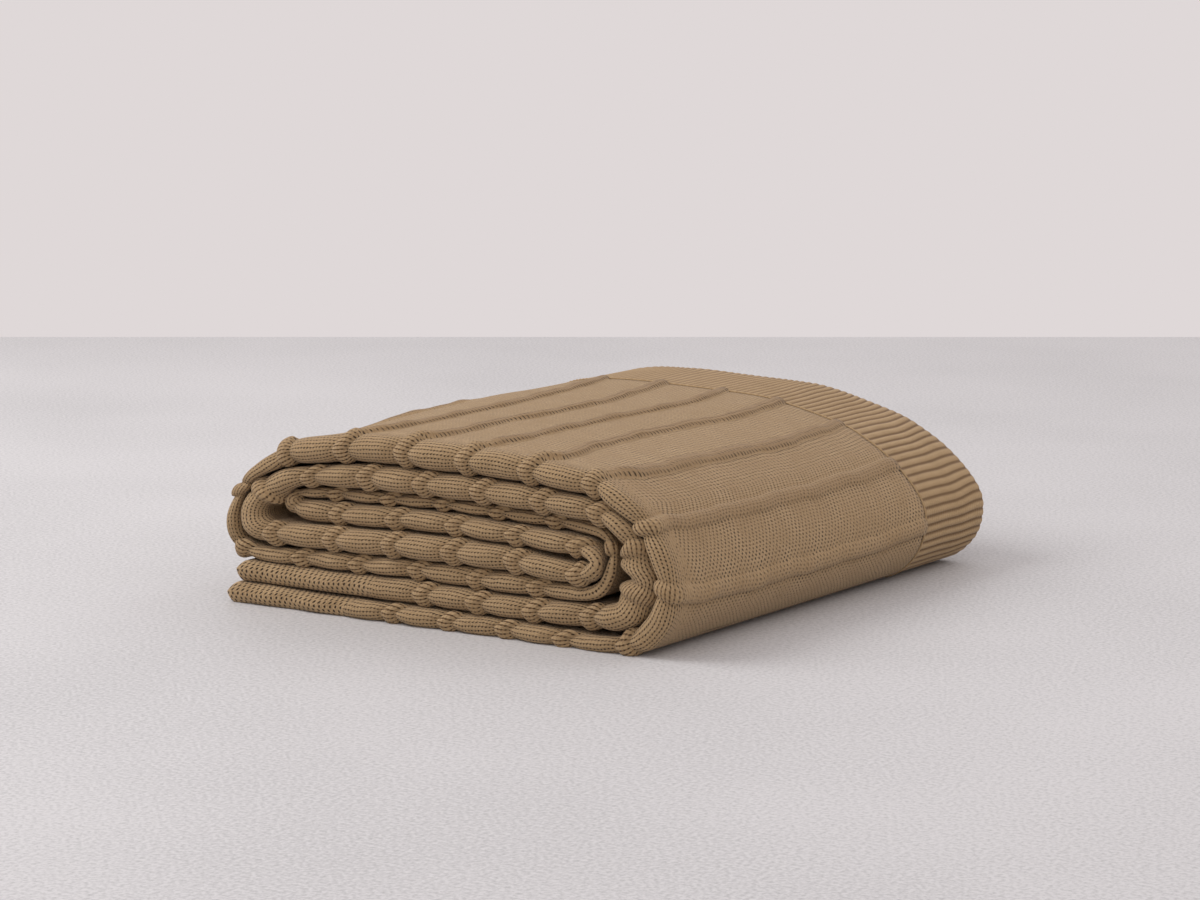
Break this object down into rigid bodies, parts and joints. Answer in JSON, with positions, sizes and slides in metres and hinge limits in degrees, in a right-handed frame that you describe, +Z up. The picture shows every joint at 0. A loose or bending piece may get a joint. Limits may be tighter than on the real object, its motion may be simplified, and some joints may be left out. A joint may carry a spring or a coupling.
{
  "type": "throw blanket",
  "caption": "Folded knitted throw blanket with raised welts across the cloth and a ribbed band along each long edge.",
  "frame": {"origin": "middle of the part's box in X and Y, on the surface that it rests on", "axes": "+X to the right along the front folded edge, +Y from the front fold to the banded back end, +Z up"},
  "size_m": [0.341, 0.3998, 0.1143],
  "materials": {
    "panel_knit": "matte tan cotton knit",
    "band_knit": "matte tan cotton rib knit"
  },
  "bodies": {
    "root": {"knit_panel": "panel_knit", "rib_band_outer": "band_knit", "rib_band_inner": "band_knit"}
  },
  "joints": []
}
